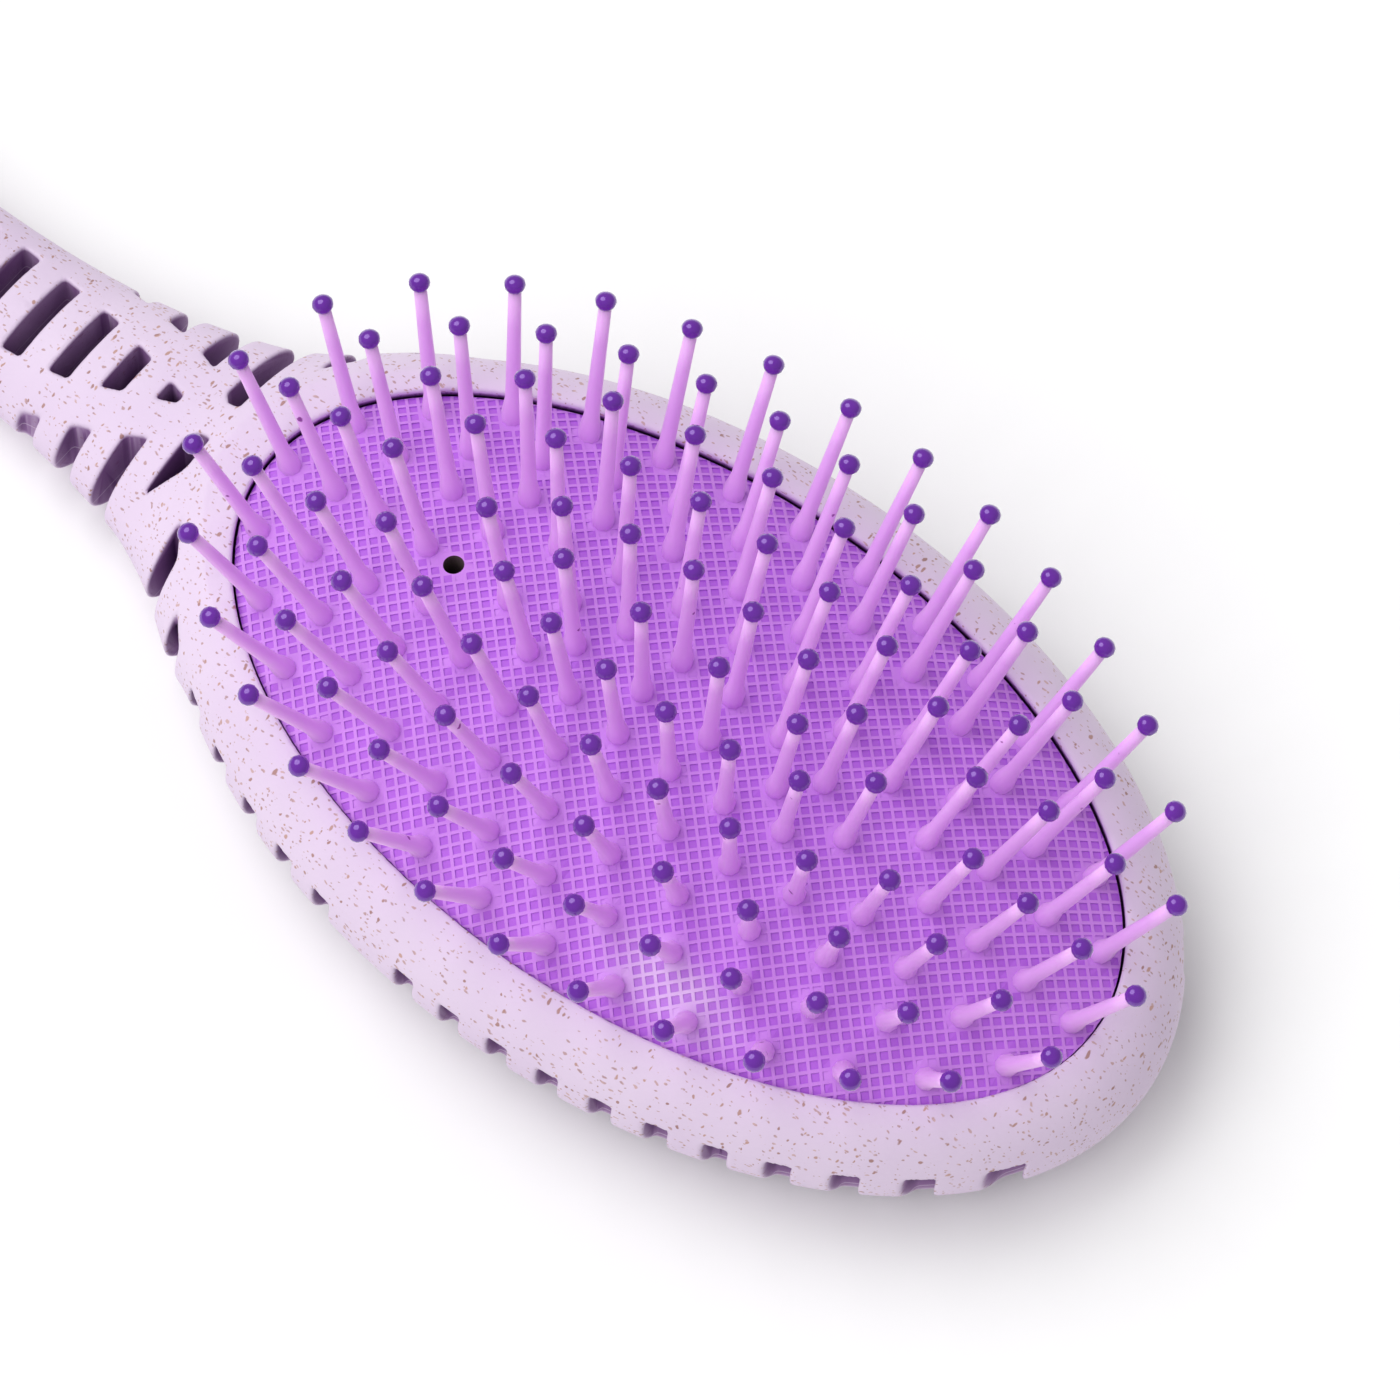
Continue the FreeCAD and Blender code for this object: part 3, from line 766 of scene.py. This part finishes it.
def makeWaffleTree():
    lengths = ("Half Length", "Half Width", "Edge", "Crown", "Depth", "Collar", "Span")
    sizes = dict.fromkeys((*lengths, "Fullness", "Cell Share", "Trim Share", "Turn"), "Float")
    tree, given, result = newTree("waffleSheet", {**sizes, "Cells": "Int", "Material": "Material"})
    sheet = addNode(tree, "GeometryNodeMeshGrid", {"Size X": given["Span"], "Size Y": given["Span"]})
    tree.links.new(given["Cells"], sheet.inputs["Vertices X"])
    tree.links.new(given["Cells"], sheet.inputs["Vertices Y"])
    spin = addNode(tree, "ShaderNodeCombineXYZ", {2: given["Turn"]}).outputs[0]
    values = {"Geometry": sheet.outputs[0], "Rotation": spin}
    turned = addNode(tree, "GeometryNodeTransform", values).outputs[0]

    def ovalShare():  # 0 in the middle of the cushion, 1 at its edge
        place = readPlace(tree)
        along = calc(tree, "DIVIDE", place[0], given["Half Length"])
        across = calc(tree, "DIVIDE", place[1], given["Half Width"])
        squares = calc(tree, "MULTIPLY_ADD", along, along, calc(tree, "MULTIPLY", across, across))
        return calc(tree, "SQRT", squares)

    def raiseFaces(mesh, **chosen):  # new faces on each face, at no height yet
        values = {"Mesh": mesh, "Offset Scale": 0.0, "Individual": True, **chosen}
        return addNode(tree, "GeometryNodeExtrudeMesh", values).outputs

    outside = calc(tree, "GREATER_THAN", ovalShare(), given["Trim Share"])
    values = {"Geometry": turned, "Selection": outside}
    trimmed = addNode(tree, "GeometryNodeDeleteGeometry", values, domain="FACE").outputs[0]
    ribs = raiseFaces(trimmed)
    values = {"Geometry": ribs[0], "Selection": ribs["Top"], "Scale": given["Cell Share"]}
    inset = addNode(tree, "GeometryNodeScaleElements", values).outputs[0]
    cells = raiseFaces(inset, Selection=ribs["Top"])
    near = addNode(tree, "GeometryNodeProximity", {0: given["Geometry"]}, target_element="POINTS")
    clear = calc(tree, "GREATER_THAN", near.outputs["Distance"], given["Collar"])
    sunk = calc(tree, "MULTIPLY", calc(tree, "MULTIPLY", clear, given["Depth"]), -1.0)
    drop = addNode(tree, "ShaderNodeCombineXYZ", {2: sunk}).outputs[0]
    values = {"Geometry": cells[0], "Selection": cells["Top"], "Offset": drop}
    floor = addNode(tree, "GeometryNodeSetPosition", values).outputs[0]
    # 0 on the sunk cell floors, where the material paints shade
    rib = calc(tree, "SUBTRACT", 1.0, calc(tree, "MULTIPLY", cells["Top"], clear))
    values = {"Geometry": floor, "Name": "ribShare", "Value": rib}
    marked = addNode(tree, "GeometryNodeStoreNamedAttribute", values, domain="FACE").outputs[0]
    bent = calc(tree, "POWER", calc(tree, "MINIMUM", ovalShare(), 1.0), given["Fullness"])
    height = calc(tree, "MULTIPLY_ADD", calc(tree, "SUBTRACT", 1.0, bent), given["Crown"], given["Edge"])
    rise = addNode(tree, "ShaderNodeCombineXYZ", {2: height}).outputs[0]
    crowned = addNode(tree, "GeometryNodeSetPosition", {"Geometry": marked, "Offset": rise}).outputs[0]
    endTree(tree, given, crowned, result)
    return tree


def closeBelow(mesh, halfLength, halfWidth):  # draws the ragged rim to the oval and closes the sheet below
    work = bmesh.new()
    work.from_mesh(mesh)
    bmesh.ops.remove_doubles(work, verts=work.verts, dist=joinWithin * mm)
    for vert in work.verts:
        share = math.hypot(vert.co.x / halfLength, vert.co.y / halfWidth)
        if share > 1:
            vert.co.x /= share
            vert.co.y /= share
    bmesh.ops.dissolve_degenerate(work, edges=work.edges, dist=waffle["collapseWithin"] * mm)
    rim = [edge for edge in work.edges if edge.is_boundary]
    wall = bmesh.ops.extrude_edge_only(work, edges=rim)["geom"]
    lower = [item for item in wall if isinstance(item, bmesh.types.BMVert)]
    for vert in lower:
        vert.co.z = waffle["foot"] * mm
    bmesh.ops.holes_fill(work, edges=[edge for edge in work.edges if edge.is_boundary])
    bmesh.ops.recalc_face_normals(work, faces=work.faces)
    if work.calc_volume(signed=True) < 0:
        bmesh.ops.reverse_faces(work, faces=work.faces)
    work.to_mesh(mesh)
    work.free()


def openVent(pad):  # a round blind hole in the closed form
    work = bmesh.new()
    low, high, radius = (waffle[word] * mm for word in ("ventFloor", "ventTop", "ventWidth"))
    radius /= 2
    middle = Matrix.Translation((waffle["ventX"] * mm, 0, (low + high) / 2))
    sizes = dict(radius1=radius, radius2=radius, depth=high - low, segments=waffle["ventSides"])
    bmesh.ops.create_cone(work, cap_ends=True, matrix=middle, **sizes)
    tool = newPiece("ventTool", bpy.data.meshes.new("ventTool"))
    tool.data.materials.append(finishes["vent"])
    work.to_mesh(tool.data)
    work.free()
    cut = pad.modifiers.new("vent", "BOOLEAN")
    cut.solver = "EXACT"
    cut.material_mode = "TRANSFER"
    cut.object = tool
    flatten(pad)
    bpy.data.objects.remove(tool)


def sewSlits(mesh):  # a long edge that lies on two short ones takes their middle point and joins them
    work = bmesh.new()
    work.from_mesh(mesh)
    within = waffle["sewWithin"] * mm
    slits = [edge for edge in work.edges if edge.is_boundary]
    corners = sorted({vert for edge in slits for vert in edge.verts}, key=lambda vert: vert.index)
    for edge in slits:
        start, end = edge.verts
        line = end.co - start.co
        for corner in (vert for vert in corners if vert not in (start, end)):
            along = (corner.co - start.co).dot(line) / line.length_squared
            if 0 < along < 1 and (start.co + line * along - corner.co).length < within:
                bmesh.utils.edge_split(edge, start, along)
                break
    bmesh.ops.remove_doubles(work, verts=work.verts, dist=within)
    work.to_mesh(mesh)
    work.free()


def makeCushion():
    halfLength = (shell["openingLength"] / 2 - waffle["edgeGap"]) * mm
    halfWidth = (shell["openingWidth"] / 2 - waffle["edgeGap"]) * mm
    cells = math.ceil(waffle["spanShare"] * halfLength / (waffle["pitch"] * mm))
    vent = Vector((waffle["ventX"] * mm, 0, 0))
    spots = [Vector((foot.x, foot.y, 0)) for foot in pinFeet] + [vent]
    pad = newPiece("cushionPad", newMesh("cushionPad", spots, []))
    sizes = {
        "Half Length": halfLength, "Half Width": halfWidth, "Span": cells * waffle["pitch"] * mm,
        "Edge": waffle["edge"] * mm, "Crown": waffle["crown"] * mm, "Fullness": waffle["fullness"],
        "Cell Share": waffle["cellShare"], "Trim Share": waffle["trimShare"], "Depth": waffle["depth"] * mm,
        "Turn": math.radians(waffle["turn"]), "Collar": waffle["collar"] * mm,
    }
    growTree(pad, makeWaffleTree(), **sizes, Cells=cells + 1, Material=finishes["pad"])
    closeBelow(pad.data, halfLength, halfWidth)
    openVent(pad)
    sewSlits(pad.data)
    print("cushion made:", len(pad.data.polygons), "faces")
    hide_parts("cushion_pad")
    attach(pad, "frame")
    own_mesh(pad)


makeCushion()

# Floor and soft studio light
studio = dict(
    floorSize=3.0, white=0.97, floorRough=0.9, dome=0.37, backdrop=1.0,
    suns=[  # name, where it shines from, angle, what it adds to the floor's white, seen in gloss
        ("keySun", (-0.5, -0.02, 0.8), 46, 0.36, True),
        ("fillSun", (-0.12, -0.55, 0.65), 45, 0.28, False),
        ("backSun", (0.1, 0.7, 0.75), 60, 0.06, False),
    ],
)


def makeFloor():
    half = studio["floorSize"] / 2
    corners = [(-half, -half, 0), (half, -half, 0), (half, half, 0), (-half, half, 0)]
    floor = newPiece("floor", newMesh("floor", corners, [(0, 1, 2, 3)]))
    white = (studio["white"],) * 3 + (1.0,)
    sockets = {"Roughness": studio["floorRough"], "Base Color": white}
    floor.data.materials.append(newMaterial("paleFloor", sockets)[0])


def addSun(name, source, angle, share, mirrored):
    sun = bpy.data.lights.new(name, "SUN")
    sun.angle = math.radians(angle)
    towards = Vector(source).normalized()
    sun.energy = share * math.pi / (studio["white"] * towards.z)
    piece = bpy.data.objects.new(name, sun)
    piece.location = towards
    piece.visible_glossy = mirrored
    piece.rotation_euler = towards.to_track_quat("Z", "Y").to_euler()
    scene.collection.objects.link(piece)


def makeLight():
    world = bpy.data.worlds.new("studioWorld")
    scene.world = world
    world.use_nodes = True
    tree = world.node_tree
    background = tree.nodes["Background"]
    background.inputs["Color"].default_value = (1, 1, 1, 1)
    seen = addNode(tree, "ShaderNodeLightPath").outputs["Is Camera Ray"]
    strength = calc(tree, "MULTIPLY_ADD", seen, studio["backdrop"] - studio["dome"], studio["dome"])
    tree.links.new(strength, background.inputs["Strength"])
    for sun in studio["suns"]:
        addSun(*sun)


makeFloor()
makeLight()
scene.view_settings.view_transform = "Standard"
print("studio lit")
